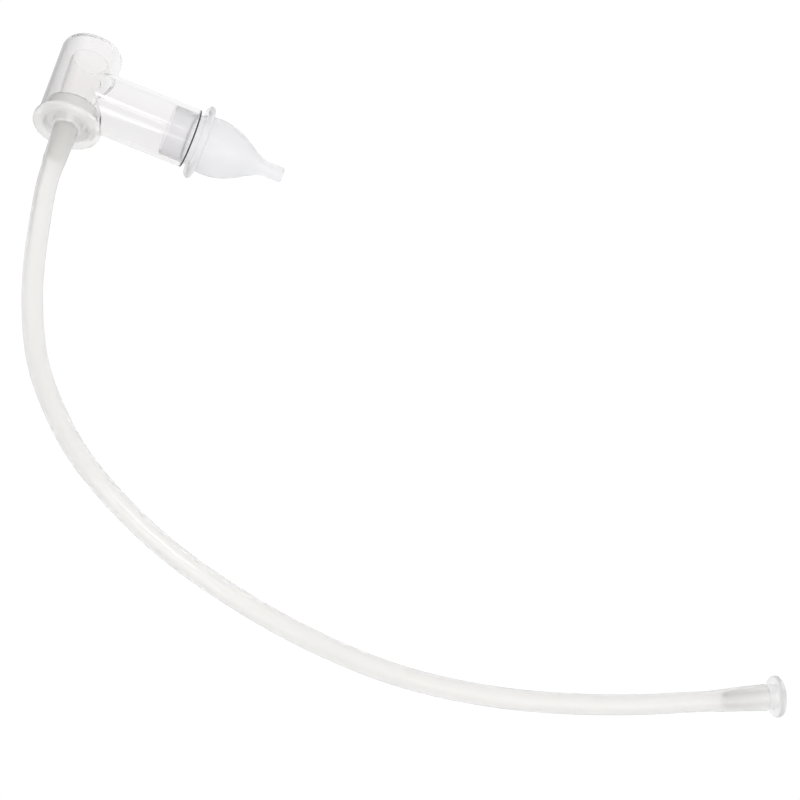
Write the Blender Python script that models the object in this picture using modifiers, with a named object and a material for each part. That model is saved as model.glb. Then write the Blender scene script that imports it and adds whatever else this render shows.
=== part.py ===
"""Nasal aspirator: a clear T-shaped chamber, a soft nozzle, a stopper with a standpipe, a hose and a mouthpiece.

Metres, +Z up. The chamber's main tube lies along Y and its branch points along +X, both at one height
above the surface that the object lies on. The origin is below the middle of the chamber assembly (the
chamber, nozzle, stopper and standpipe), on that surface.
"""

import math

import bmesh
import bpy
import numpy as np

MM = 0.001

# Fits, in millimetres like every size below.
FIT_GAP = 0.3                 # between pieces that touch, seat or slide
SURFACE_GAP = 0.05            # under the hose where it lies
OVERCUT = 1.0                 # how far a cutter runs past the face that it opens
ROUND_SIDES = 48              # flats round each large turned piece
SMALL_SIDES = 32              # flats round the mouthpiece and the spigots' pockets

# How each turned piece lies, in degrees about X, Y and Z.
ALONG_Y = (-90, 0, 0)
ALONG_X = (0, 90, 0)

# Chamber: main tube along Y with a closed end, and a branch along +X.
CHAMBER_RADIUS = 10.0
CHAMBER_WALL = 1.1
CHAMBER_LENGTH = 30.2         # open rim to closed end
CHAMBER_END_WALL = 1.3
CHAMBER_END_ROUND = 1.8       # outer edge round at the closed end
CHAMBER_INNER_ROUND = 0.3     # least round at the closed end inside
BRANCH_STEP = 0.2             # how much narrower the branch is than the main tube
BRANCH_WALL = 1.1
BRANCH_OFFSET = 12.3          # open rim to the branch's axis
BRANCH_REACH = 38.6           # main axis to the branch's rim

# Nozzle: soft, turned round the branch's axis.
NOZZLE_FLANGE_LIP = 2.5       # flange past the branch's outside
NOZZLE_FLANGE_THICKNESS = 2.4
NOZZLE_SEAT_GAP = 1.7         # branch rim to flange
NOZZLE_SLEEVE_DEPTH = 8.2     # sleeve inside the branch
NOZZLE_WALL = 1.3
NOZZLE_BODY_STEP = 0.3        # how much narrower the body is than the branch
NOZZLE_BODY_LENGTH = 24.5     # flange's middle to where the tip runs straight
NOZZLE_SHOULDER = 3.5         # flange's middle to where the body starts to narrow
NOZZLE_FULLNESS = 0.612       # how far along its length the body stays full
NOZZLE_SLENDERNESS = 0.714    # how far back along its length the tip starts to widen
NOZZLE_THROAT = 1.75          # flange's middle to where the bore starts to widen
NOZZLE_LENGTH = 29.1          # flange's middle to the tip's end
NOZZLE_TIP_RADIUS = 2.5
NOZZLE_TIP_BORE_RADIUS = 1.5

# Stopper: closes the main tube's open end and carries the hose's spigot.
CAP_FLANGE_LIP = 1.0          # flange past the main tube's outside
CAP_FLANGE_THICKNESS = 1.9
CAP_FLANGE_ROUND = 0.6
CAP_PLUG_DEPTH = 5.0          # plug inside the chamber
CAP_FLOOR_THICKNESS = 4.0     # outer face to the standpipe's seat
CAP_RECESS_DEPTH = 2.4
CAP_RECESS_RIM = 1.2          # plug's outside to the recess
CAP_BOSS_RADIUS = 4.6

# Standpipe inside the main tube.
STANDPIPE_RADIUS = 6.25
STANDPIPE_WALL = 0.9
STANDPIPE_HEADROOM = 3.7      # its mouth to the closed end's inner face

# Hose, and the two tapered spigots that it is pushed on, one on the stopper and one on the mouthpiece.
HOSE_BORE_RADIUS = 2.25
HOSE_WALL = 1.0
HOSE_EASE = 5.0               # length past a spigot in which the hose returns to its own size
HOSE_POINT_SPACING = 7.0
SPIGOT_TIP_RADIUS = 2.6
SPIGOT_NOSE = 0.5             # chamfer at a spigot's tip
CAP_SPIGOT_RADIUS = 2.9       # at its root
CAP_SPIGOT_LENGTH = 12.5
CAP_SPIGOT_BORE_RADIUS = 1.5
MOUTH_SPIGOT_RADIUS = 3.3     # at its root
MOUTH_SPIGOT_LENGTH = 14.8
MOUTH_SPIGOT_BORE_RADIUS = 1.7

# Mouthpiece: a disc with a neck and a spigot, its axis running out along the hose's end.
DISC_RADIUS = 6.7
DISC_THICKNESS = 1.7
NECK_RADIUS = 4.0
NECK_LENGTH = 2.6
MOUTHPIECE_PLACE = (271.6, -117.0)   # disc's inner face, from the chamber's two axes
MOUTHPIECE_HEADING = 20.0     # degrees from +X towards +Y
MOUTHPIECE_RISE = 9.5         # degrees above level

# Where the hose runs between its two spigots: (x, y) from the chamber's two axes, and how far its middle
# is above where it lies on the surface.
HOSE_ROUTE = (
    (0.3, -36.0, 8.4),
    (1.5, -45.0, 7.2),
    (3.5, -56.0, 5.2),
    (6.6, -69.0, 2.7),
    (11.0, -82.0, 0.8),
    (17.0, -95.0, 0.1),
    (25.5, -107.0, 0.0),
    (36.0, -118.0, 0.0),
    (48.5, -127.0, 0.0),
    (62.0, -134.5, 0.0),
    (76.5, -140.5, 0.0),
    (91.5, -145.0, 0.0),
    (107.0, -148.5, 0.0),
    (122.5, -150.8, 0.0),
    (138.0, -151.9, 0.0),
    (153.5, -151.6, 0.0),
    (169.0, -149.8, 0.0),
    (184.0, -147.0, 0.0),
    (199.0, -143.2, 0.0),
    (214.0, -138.6, 0.0),
    (229.0, -133.3, 0.0),
    (242.5, -128.0, 0.2),
)

# Worked out from the sizes above. Y runs along the main tube, X along the branch, from where they cross.
CHAMBER_BORE_RADIUS = CHAMBER_RADIUS - CHAMBER_WALL
BRANCH_RADIUS = CHAMBER_RADIUS - BRANCH_STEP
BRANCH_BORE_RADIUS = BRANCH_RADIUS - BRANCH_WALL
NOZZLE_FLANGE_RADIUS = BRANCH_RADIUS + NOZZLE_FLANGE_LIP
NOZZLE_BODY_RADIUS = BRANCH_RADIUS - NOZZLE_BODY_STEP
CAP_FLANGE_RADIUS = CHAMBER_RADIUS + CAP_FLANGE_LIP
CAP_PLUG_RADIUS = CHAMBER_BORE_RADIUS - FIT_GAP
CAP_RECESS_RADIUS = CAP_PLUG_RADIUS - CAP_RECESS_RIM
CAP_SOCKET_RADIUS = STANDPIPE_RADIUS + FIT_GAP
AXIS_HEIGHT = max(NOZZLE_FLANGE_RADIUS, CAP_FLANGE_RADIUS)
AXES_CROSS = (0, 0, AXIS_HEIGHT)
OPEN_RIM_Y = -BRANCH_OFFSET
CLOSED_END_Y = CHAMBER_LENGTH - BRANCH_OFFSET
BORE_END_Y = CLOSED_END_Y - CHAMBER_END_WALL
CAP_FACE_Y = OPEN_RIM_Y - FIT_GAP - CAP_FLANGE_THICKNESS
CAP_SEAT_Y = CAP_FACE_Y + CAP_FLOOR_THICKNESS
STANDPIPE_TOP_Y = BORE_END_Y - STANDPIPE_HEADROOM
SPIGOT_END_Y = CAP_FACE_Y - CAP_SPIGOT_LENGTH
NOZZLE_BACK_X = BRANCH_REACH + NOZZLE_SEAT_GAP
NOZZLE_MIDDLE_X = NOZZLE_BACK_X + NOZZLE_FLANGE_THICKNESS / 2
NOZZLE_END_X = NOZZLE_MIDDLE_X + NOZZLE_LENGTH
HOSE_RADIUS = HOSE_BORE_RADIUS + HOSE_WALL
HOSE_REST_HEIGHT = HOSE_RADIUS + SURFACE_GAP
ORIGIN_X = (NOZZLE_END_X - CAP_FLANGE_RADIUS) / 2
ORIGIN_Y = (CLOSED_END_Y + SPIGOT_END_Y) / 2


def clear_scene():
    for old in list(bpy.data.objects):
        bpy.data.objects.remove(old, do_unlink=True)


def add_collection(name):
    made = bpy.data.collections.new(name)
    bpy.context.scene.collection.children.link(made)
    return made


def add_material(name, colour, roughness, alpha=1.0):
    made = bpy.data.materials.new(name)
    made.use_nodes = True
    shader = made.node_tree.nodes["Principled BSDF"]
    shader.inputs["Base Color"].default_value = (*colour, 1.0)
    shader.inputs["Roughness"].default_value = roughness
    shader.inputs["Metallic"].default_value = 0.0
    shader.inputs["Alpha"].default_value = alpha
    return made


def arc(middle, radius, start, end, steps=4):
    """Points on a round, angles in degrees from +radius towards +along."""
    angles = np.radians(np.linspace(start, end, steps + 1))
    return [(middle[0] + radius * math.cos(a), middle[1] + radius * math.sin(a)) for a in angles]


def bezier(start, leave, arrive, end, steps):
    """Points on a cubic curve between start and end."""
    ends = [np.array(point, float) for point in (start, leave, arrive, end)]
    points = []
    for t in np.linspace(0.0, 1.0, steps + 1):
        weights = ((1 - t) ** 3, 3 * t * (1 - t) ** 2, 3 * t * t * (1 - t), t ** 3)
        points.append(tuple(sum(w * p for w, p in zip(weights, ends))))
    return points


def add_turned(name, profile, sides, closed=True):
    """A piece turned round its local Z from (radius, along) points, down its outer side and up its bore."""
    mesh = bpy.data.meshes.new(name)
    shape = bmesh.new()
    corners = [shape.verts.new((radius * MM, 0.0, along * MM)) for radius, along in profile]
    for first, second in zip(corners, corners[1:]):
        shape.edges.new((first, second))
    if closed:
        shape.edges.new((corners[-1], corners[0]))
    shape.to_mesh(mesh)
    shape.free()
    made = bpy.data.objects.new(name, mesh)
    turn = made.modifiers.new("Turn", "SCREW")
    turn.axis = "Z"
    turn.angle = math.tau
    turn.steps = sides
    turn.render_steps = sides
    turn.use_merge_vertices = True
    turn.merge_threshold = 0.00001
    turn.use_smooth_shade = True
    return made


def add_cylinder(name, radius, start, end, sides):
    """A plain round bar along local Z."""
    return add_turned(name, [(0, end), (radius, end), (radius, start), (0, start)], sides, closed=False)


def place(made, group, frame, material=None, location=(0, 0, 0), rotation=(0, 0, 0)):
    """Put a piece into its collection, under the frame, at a place in millimetres and degrees."""
    group.objects.link(made)
    made.parent = frame
    made.location = [value * MM for value in location]
    made.rotation_euler = [math.radians(value) for value in rotation]
    if material:
        made.data.materials.append(material)
    return made


def hide_cutter(cutter):
    cutter.hide_render = True
    cutter.display_type = "WIRE"


def add_boolean(made, operation, cutter):
    cut = made.modifiers.new(cutter.name, "BOOLEAN")
    cut.operation = operation
    cut.solver = "EXACT"
    cut.object = cutter
    hide_cutter(cutter)


def build_chamber(parts, cutters, frame):
    """The clear T: both tubes joined outside, then both bores cut through to each other."""
    side = CHAMBER_RADIUS
    edge = CHAMBER_END_ROUND
    outer = [(0, CLOSED_END_Y)]
    outer += arc((side - edge, CLOSED_END_Y - edge), edge, 90, 0)
    outer += [(side, OPEN_RIM_Y), (0, OPEN_RIM_Y)]
    body = add_turned("chamber_body", outer, ROUND_SIDES, closed=False)
    clear = add_material("clear_chamber", (0.93, 0.95, 0.96), 0.08, 0.35)
    place(body, parts, frame, clear, AXES_CROSS, ALONG_Y)

    branch = add_cylinder("branch_outside", BRANCH_RADIUS, 0, BRANCH_REACH, ROUND_SIDES)
    place(branch, cutters, frame, None, AXES_CROSS, ALONG_X)
    add_boolean(body, "UNION", branch)

    inner_edge = max(CHAMBER_INNER_ROUND, edge - CHAMBER_WALL)
    bore = [(0, BORE_END_Y)]
    bore += arc((CHAMBER_BORE_RADIUS - inner_edge, BORE_END_Y - inner_edge), inner_edge, 90, 0, 3)
    bore += [(CHAMBER_BORE_RADIUS, OPEN_RIM_Y - OVERCUT), (0, OPEN_RIM_Y - OVERCUT)]
    main_bore = add_turned("main_bore", bore, ROUND_SIDES, closed=False)
    place(main_bore, cutters, frame, None, AXES_CROSS, ALONG_Y)
    add_boolean(body, "DIFFERENCE", main_bore)

    branch_bore = add_cylinder("branch_bore", BRANCH_BORE_RADIUS, 0, BRANCH_REACH + OVERCUT, ROUND_SIDES)
    place(branch_bore, cutters, frame, None, AXES_CROSS, ALONG_X)
    add_boolean(body, "DIFFERENCE", branch_bore)


def build_nozzle(parts, frame):
    """Soft nozzle, its profile measured from the flange's middle: sleeve, flange, bullet body, tip."""
    sleeve = BRANCH_BORE_RADIUS - FIT_GAP
    half = NOZZLE_FLANGE_THICKNESS / 2
    sleeve_end = BRANCH_REACH - NOZZLE_SLEEVE_DEPTH - NOZZLE_MIDDLE_X
    full = NOZZLE_BODY_LENGTH * NOZZLE_FULLNESS
    slender = NOZZLE_BODY_LENGTH * NOZZLE_SLENDERNESS
    bore = sleeve - NOZZLE_WALL
    outer = [(NOZZLE_TIP_RADIUS, NOZZLE_LENGTH)]
    outer += bezier(
        (NOZZLE_TIP_RADIUS, NOZZLE_BODY_LENGTH),
        (NOZZLE_TIP_RADIUS, slender),
        (NOZZLE_BODY_RADIUS, full),
        (NOZZLE_BODY_RADIUS, NOZZLE_SHOULDER),
        8,
    )
    outer += [(NOZZLE_BODY_RADIUS, half)]
    outer += arc((NOZZLE_FLANGE_RADIUS - half, 0), half, 90, -90, 6)
    outer += [(sleeve, -half), (sleeve, sleeve_end)]
    inner = [(bore, sleeve_end), (bore, NOZZLE_THROAT)]
    inner += bezier(
        (NOZZLE_BODY_RADIUS - NOZZLE_WALL, NOZZLE_SHOULDER),
        (NOZZLE_BODY_RADIUS - NOZZLE_WALL, full),
        (NOZZLE_TIP_BORE_RADIUS, slender),
        (NOZZLE_TIP_BORE_RADIUS, NOZZLE_BODY_LENGTH),
        8,
    )
    inner += [(NOZZLE_TIP_BORE_RADIUS, NOZZLE_LENGTH)]
    nozzle = add_turned("nozzle", outer + inner, ROUND_SIDES)
    soft = add_material("nozzle_silicone", (0.86, 0.89, 0.93), 0.35, 0.7)
    place(nozzle, parts, frame, soft, (NOZZLE_MIDDLE_X, 0, AXIS_HEIGHT), ALONG_X)


def spigot(root_radius, root, length, bore_radius):
    """A tapered spigot's profile, from its root down to its tip and in to its bore."""
    tip = root - length
    return [
        (root_radius, root),
        (SPIGOT_TIP_RADIUS, tip + 2 * SPIGOT_NOSE),
        (SPIGOT_TIP_RADIUS - SPIGOT_NOSE, tip),
        (bore_radius, tip),
    ]


def add_pocket(name, root_radius, root, length):
    """A cutter with a spigot's own taper and the fit gap all round, which leaves the hose's wall round it."""
    tip = root - length
    wide = root_radius + FIT_GAP
    narrow = SPIGOT_TIP_RADIUS + FIT_GAP
    grow = (wide - narrow) / (length - 2 * SPIGOT_NOSE)
    outline = [
        (0, root + OVERCUT),
        (wide + grow * OVERCUT, root + OVERCUT),
        (narrow, tip + 2 * SPIGOT_NOSE),
        (narrow, tip - FIT_GAP),
        (0, tip - FIT_GAP),
    ]
    return add_turned(name, outline, SMALL_SIDES, closed=False)


def build_end_cap(parts, frame):
    """Stopper: plug and flange, a ring recess in its outer face, a boss, and the hose's spigot."""
    plug_top = OPEN_RIM_Y + CAP_PLUG_DEPTH
    flange_back = CAP_FACE_Y + CAP_FLANGE_THICKNESS
    edge = min(CAP_FLANGE_ROUND, CAP_FLANGE_THICKNESS / 3)
    recess_top = CAP_FACE_Y + CAP_RECESS_DEPTH
    profile = [(CAP_SOCKET_RADIUS, plug_top), (CAP_PLUG_RADIUS, plug_top), (CAP_PLUG_RADIUS, flange_back)]
    profile += arc((CAP_FLANGE_RADIUS - edge, flange_back - edge), edge, 90, 0, 3)
    profile += arc((CAP_FLANGE_RADIUS - edge, CAP_FACE_Y + edge), edge, 0, -90, 3)
    profile += [(CAP_RECESS_RADIUS, CAP_FACE_Y), (CAP_RECESS_RADIUS, recess_top)]
    profile += [(CAP_BOSS_RADIUS, recess_top), (CAP_BOSS_RADIUS, CAP_FACE_Y)]
    profile += spigot(CAP_SPIGOT_RADIUS, CAP_FACE_Y, CAP_SPIGOT_LENGTH, CAP_SPIGOT_BORE_RADIUS)
    profile += [(CAP_SPIGOT_BORE_RADIUS, CAP_SEAT_Y), (CAP_SOCKET_RADIUS, CAP_SEAT_Y)]
    cap = add_turned("end_cap", profile, ROUND_SIDES)
    milky = add_material("cap_polyethylene", (0.92, 0.9, 0.85), 0.3, 0.75)
    place(cap, parts, frame, milky, AXES_CROSS, ALONG_Y)


def build_standpipe(parts, frame):
    """Tube standing in the stopper, which keeps liquid in the chamber out of the hose."""
    bore = STANDPIPE_RADIUS - STANDPIPE_WALL
    foot = CAP_SEAT_Y + FIT_GAP
    profile = [
        (bore, STANDPIPE_TOP_Y),
        (STANDPIPE_RADIUS, STANDPIPE_TOP_Y),
        (STANDPIPE_RADIUS, foot),
        (bore, foot),
    ]
    pipe = add_turned("inner_tube", profile, ROUND_SIDES)
    clear = add_material("clear_standpipe", (0.93, 0.93, 0.92), 0.12, 0.45)
    place(pipe, parts, frame, clear, AXES_CROSS, ALONG_Y)


def mouthpiece_axis():
    heading = math.radians(MOUTHPIECE_HEADING)
    rise = math.radians(MOUTHPIECE_RISE)
    level = math.cos(rise)
    return np.array([level * math.cos(heading), level * math.sin(heading), math.sin(rise)])


def mouthpiece_centre():
    """Middle of the disc's inner face, high enough for the disc's rim and the hose to clear the surface."""
    rise = math.radians(MOUTHPIECE_RISE)
    tip_drop = (NECK_LENGTH + MOUTH_SPIGOT_LENGTH) * math.sin(rise)
    over_hose = tip_drop + (SPIGOT_TIP_RADIUS + HOSE_WALL) * math.cos(rise) + 2 * SURFACE_GAP
    return np.array([*MOUTHPIECE_PLACE, max(DISC_RADIUS * math.cos(rise), over_hose)])


def build_mouthpiece(parts, frame):
    """Disc, neck and spigot in one moulding, bored through."""
    edge = DISC_THICKNESS / 3
    profile = [(MOUTH_SPIGOT_BORE_RADIUS, DISC_THICKNESS)]
    profile += arc((DISC_RADIUS - edge, DISC_THICKNESS - edge), edge, 90, 0, 3)
    profile += arc((DISC_RADIUS - edge, edge), edge, 0, -90, 3)
    profile += [(NECK_RADIUS, 0), (NECK_RADIUS, -NECK_LENGTH)]
    profile += spigot(MOUTH_SPIGOT_RADIUS, -NECK_LENGTH, MOUTH_SPIGOT_LENGTH, MOUTH_SPIGOT_BORE_RADIUS)
    piece = add_turned("mouthpiece", profile, SMALL_SIDES)
    clear = add_material("clear_mouthpiece", (0.93, 0.94, 0.93), 0.08, 0.5)
    turn = (0, 90 - MOUTHPIECE_RISE, MOUTHPIECE_HEADING)
    place(piece, parts, frame, clear, mouthpiece_centre(), turn)


def smooth_route(points, spacing):
    """Points about one spacing apart along a natural cubic curve through the route."""
    points = np.array(points, float)
    chords = np.linalg.norm(np.diff(points, axis=0), axis=1)
    knots = np.concatenate([[0.0], np.cumsum(chords)])
    count = len(points)
    system = np.eye(count)
    right = np.zeros_like(points)
    for i in range(1, count - 1):
        system[i, i - 1:i + 2] = (chords[i - 1], 2 * (chords[i - 1] + chords[i]), chords[i])
        slopes = (points[i + 1] - points[i]) / chords[i] - (points[i] - points[i - 1]) / chords[i - 1]
        right[i] = 6 * slopes
    bends = np.linalg.solve(system, right)
    places = np.linspace(0.0, knots[-1], round(knots[-1] / spacing) + 1)
    smooth = []
    for place_along in places:
        i = min(int(np.searchsorted(knots, place_along, side="right")) - 1, count - 2)
        step = chords[i]
        b = (place_along - knots[i]) / step
        a = 1 - b
        curved = ((a ** 3 - a) * bends[i] + (b ** 3 - b) * bends[i + 1]) * step * step / 6
        smooth.append(a * points[i] + b * points[i + 1] + curved)
    return np.array(smooth)


def hose_points():
    """The hose's middle line: straight along both spigots and smooth between them."""
    near_end = np.array([0.0, CAP_FACE_Y - FIT_GAP, AXIS_HEIGHT])
    near_tip = np.array([0.0, SPIGOT_END_Y - FIT_GAP, AXIS_HEIGHT])
    axis = mouthpiece_axis()
    neck = mouthpiece_centre() - axis * NECK_LENGTH
    far_end = neck - axis * FIT_GAP
    far_tip = neck - axis * (MOUTH_SPIGOT_LENGTH + FIT_GAP)
    near_half = (near_end + near_tip) / 2
    far_half = (far_end + far_tip) / 2
    route = [(x, y, HOSE_REST_HEIGHT + lift) for x, y, lift in HOSE_ROUTE]
    middle = smooth_route([near_half, near_tip, *route, far_tip, far_half], HOSE_POINT_SPACING)
    return np.array([near_end, *middle, far_end])


def hose_size(from_end, root_radius, length):
    """The hose's outer radius near an end: its wall round the spigot's taper, easing to its own size."""
    on_spigot = min(from_end / length, 1.0)
    round_it = root_radius + (SPIGOT_TIP_RADIUS - root_radius) * on_spigot + HOSE_WALL
    past = min(max((from_end - length) / HOSE_EASE, 0.0), 1.0)
    return round_it + (HOSE_RADIUS - round_it) * past * past * (3 - 2 * past)


def add_hose_line():
    """The hose's outside as a curve, wider over its spigots."""
    points = hose_points()
    curve = bpy.data.curves.new("hose_line", "CURVE")
    curve.dimensions = "3D"
    curve.bevel_depth = HOSE_RADIUS * MM
    curve.bevel_resolution = 4
    curve.use_fill_caps = True
    curve.render_resolution_u = 0
    spline = curve.splines.new("POLY")
    spline.points.add(len(points) - 1)
    for index, point in enumerate(points):
        near = hose_size(np.linalg.norm(point - points[0]), CAP_SPIGOT_RADIUS, CAP_SPIGOT_LENGTH)
        far = hose_size(np.linalg.norm(point - points[-1]), MOUTH_SPIGOT_RADIUS, MOUTH_SPIGOT_LENGTH)
        spline.points[index].co = (*(point * MM), 1.0)
        spline.points[index].radius = max(near, far) / HOSE_RADIUS
    return bpy.data.objects.new("hose_line", curve)


def welded_mesh(line, name):
    """A curve's shape as one closed mesh, and the curve removed."""
    bpy.context.view_layer.update()
    seen = line.evaluated_get(bpy.context.evaluated_depsgraph_get())
    mesh = bpy.data.meshes.new_from_object(seen)
    shape = bmesh.new()
    shape.from_mesh(mesh)
    bmesh.ops.remove_doubles(shape, verts=shape.verts, dist=0.00001)
    shape.to_mesh(mesh)
    shape.free()
    mesh.name = name
    mesh.shade_smooth()
    bpy.data.objects.remove(line, do_unlink=True)
    return mesh


def build_hose(parts, cutters, frame):
    """The hose as a plain round bar with a pocket in each end for its spigot."""
    line = add_hose_line()
    place(line, parts, frame)
    hose = bpy.data.objects.new("hose", welded_mesh(line, "hose"))
    rubber = add_material("hose_rubber", (0.9, 0.88, 0.85), 0.35, 0.8)
    place(hose, parts, frame, rubber)
    near = add_pocket("cap_pocket", CAP_SPIGOT_RADIUS, CAP_FACE_Y, CAP_SPIGOT_LENGTH)
    place(near, cutters, frame, None, AXES_CROSS, ALONG_Y)
    add_boolean(hose, "DIFFERENCE", near)
    far = add_pocket("mouth_pocket", MOUTH_SPIGOT_RADIUS, -NECK_LENGTH, MOUTH_SPIGOT_LENGTH)
    turn = (0, 90 - MOUTHPIECE_RISE, MOUTHPIECE_HEADING)
    place(far, cutters, frame, None, mouthpiece_centre(), turn)
    add_boolean(hose, "DIFFERENCE", far)


def main():
    clear_scene()
    parts = add_collection("nasal_aspirator")
    cutters = add_collection("cutters")
    frame = bpy.data.objects.new("frame", None)
    parts.objects.link(frame)
    frame.location = (-ORIGIN_X * MM, -ORIGIN_Y * MM, 0.0)
    build_chamber(parts, cutters, frame)
    build_nozzle(parts, frame)
    build_end_cap(parts, frame)
    build_standpipe(parts, frame)
    build_mouthpiece(parts, frame)
    build_hose(parts, cutters, frame)
    bpy.context.view_layer.update()


main()
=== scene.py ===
"""Looks for a mouth-operated nasal aspirator: clear T chamber, soft nozzle, stopper, hose and mouthpiece."""

import logging
import math
from dataclasses import dataclass, field
from enum import Enum
from typing import Any, Iterable, Sequence

import bmesh
import bpy
import numpy as np
from mathutils import Matrix, Vector


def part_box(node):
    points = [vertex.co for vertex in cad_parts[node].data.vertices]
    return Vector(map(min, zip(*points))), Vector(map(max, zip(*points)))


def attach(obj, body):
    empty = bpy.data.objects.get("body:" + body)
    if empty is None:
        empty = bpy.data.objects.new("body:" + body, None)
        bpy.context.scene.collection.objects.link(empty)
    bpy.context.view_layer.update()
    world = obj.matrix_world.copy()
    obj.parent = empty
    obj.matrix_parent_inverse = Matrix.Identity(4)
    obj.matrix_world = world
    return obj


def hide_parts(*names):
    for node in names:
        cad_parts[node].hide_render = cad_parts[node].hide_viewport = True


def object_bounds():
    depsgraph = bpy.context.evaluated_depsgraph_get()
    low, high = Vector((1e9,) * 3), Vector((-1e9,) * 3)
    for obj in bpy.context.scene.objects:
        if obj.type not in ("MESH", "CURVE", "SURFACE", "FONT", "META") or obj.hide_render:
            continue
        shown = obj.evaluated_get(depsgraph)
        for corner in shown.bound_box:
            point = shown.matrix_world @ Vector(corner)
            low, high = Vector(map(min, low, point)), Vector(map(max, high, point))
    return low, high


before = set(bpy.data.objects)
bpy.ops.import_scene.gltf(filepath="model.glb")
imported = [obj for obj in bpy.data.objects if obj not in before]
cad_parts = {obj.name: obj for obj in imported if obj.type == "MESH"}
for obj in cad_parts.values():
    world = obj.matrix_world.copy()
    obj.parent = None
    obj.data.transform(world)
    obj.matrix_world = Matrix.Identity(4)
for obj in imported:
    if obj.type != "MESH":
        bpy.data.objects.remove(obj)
CAD_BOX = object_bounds()

MM = 0.001
GRAIN = "grain"
LOG = logging.getLogger("aspirator")

Point = tuple[float, float]
Colour = tuple[float, float, float]
Lamp = tuple[str, tuple[float, float, float], float, float]

# Marks that every finish shares: octaves and pull of its noises, and the ramps that read them.
STREAK_OCTAVES, STREAK_PULL = 3.0, 0.3
CLOUD_OCTAVES, CLOUD_PULL = 4.0, 0.6
TOUCH_WAVES = (0.35, 0.35, 0.25)
TOUCH_OCTAVES, TOUCH_PULL = 5.0, 1.2
TOUCH_STOPS = ((0.5, 0.0), (0.72, 1.0))
CLOUD_SHARE, STREAK_SHARE = 0.65, 0.35
DENSITY_STOPS = ((0.3, 0.0), (0.72, 1.0))
COAT_ROUGHNESS = 0.05
FACING_BLEND = 0.5

# Shapes: degrees between faces past which an edge is sharp, and limits in rounding and turning an outline.
SHARP_ANGLE = 40.0
JOINED_SHARP_ANGLE = 35.0
WALL_SLACK = 0.03
WALL_FACING = 0.95
NEARLY_STRAIGHT = 0.02
LARGEST_RUN = 0.49
ON_AXIS = 1e-6


class Lie(Enum):
    """Which way a turned piece's own axis points, as turns about X, Y and Z in degrees."""

    MAIN = (-90.0, 0.0, 0.0)
    BRANCH = (0.0, 90.0, 0.0)


# ---------------------------------------------------------------------------------------------- shader maths


class Wire:
    """A value in a node tree that does arithmetic by adding Math nodes."""

    def __init__(self, tree: "NodeTree", socket: bpy.types.NodeSocket) -> None:
        """Wrap a socket.

        Args:
            tree: the tree that the socket is in.
            socket: an output socket.
        """
        self.tree = tree
        self.socket = socket

    def __add__(self, other: "Wire | float") -> "Wire":
        """Sum."""
        return self.tree.maths("ADD", self, other)

    def __mul__(self, other: "Wire | float") -> "Wire":
        """Product."""
        return self.tree.maths("MULTIPLY", self, other)

    __radd__ = __add__
    __rmul__ = __mul__


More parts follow.
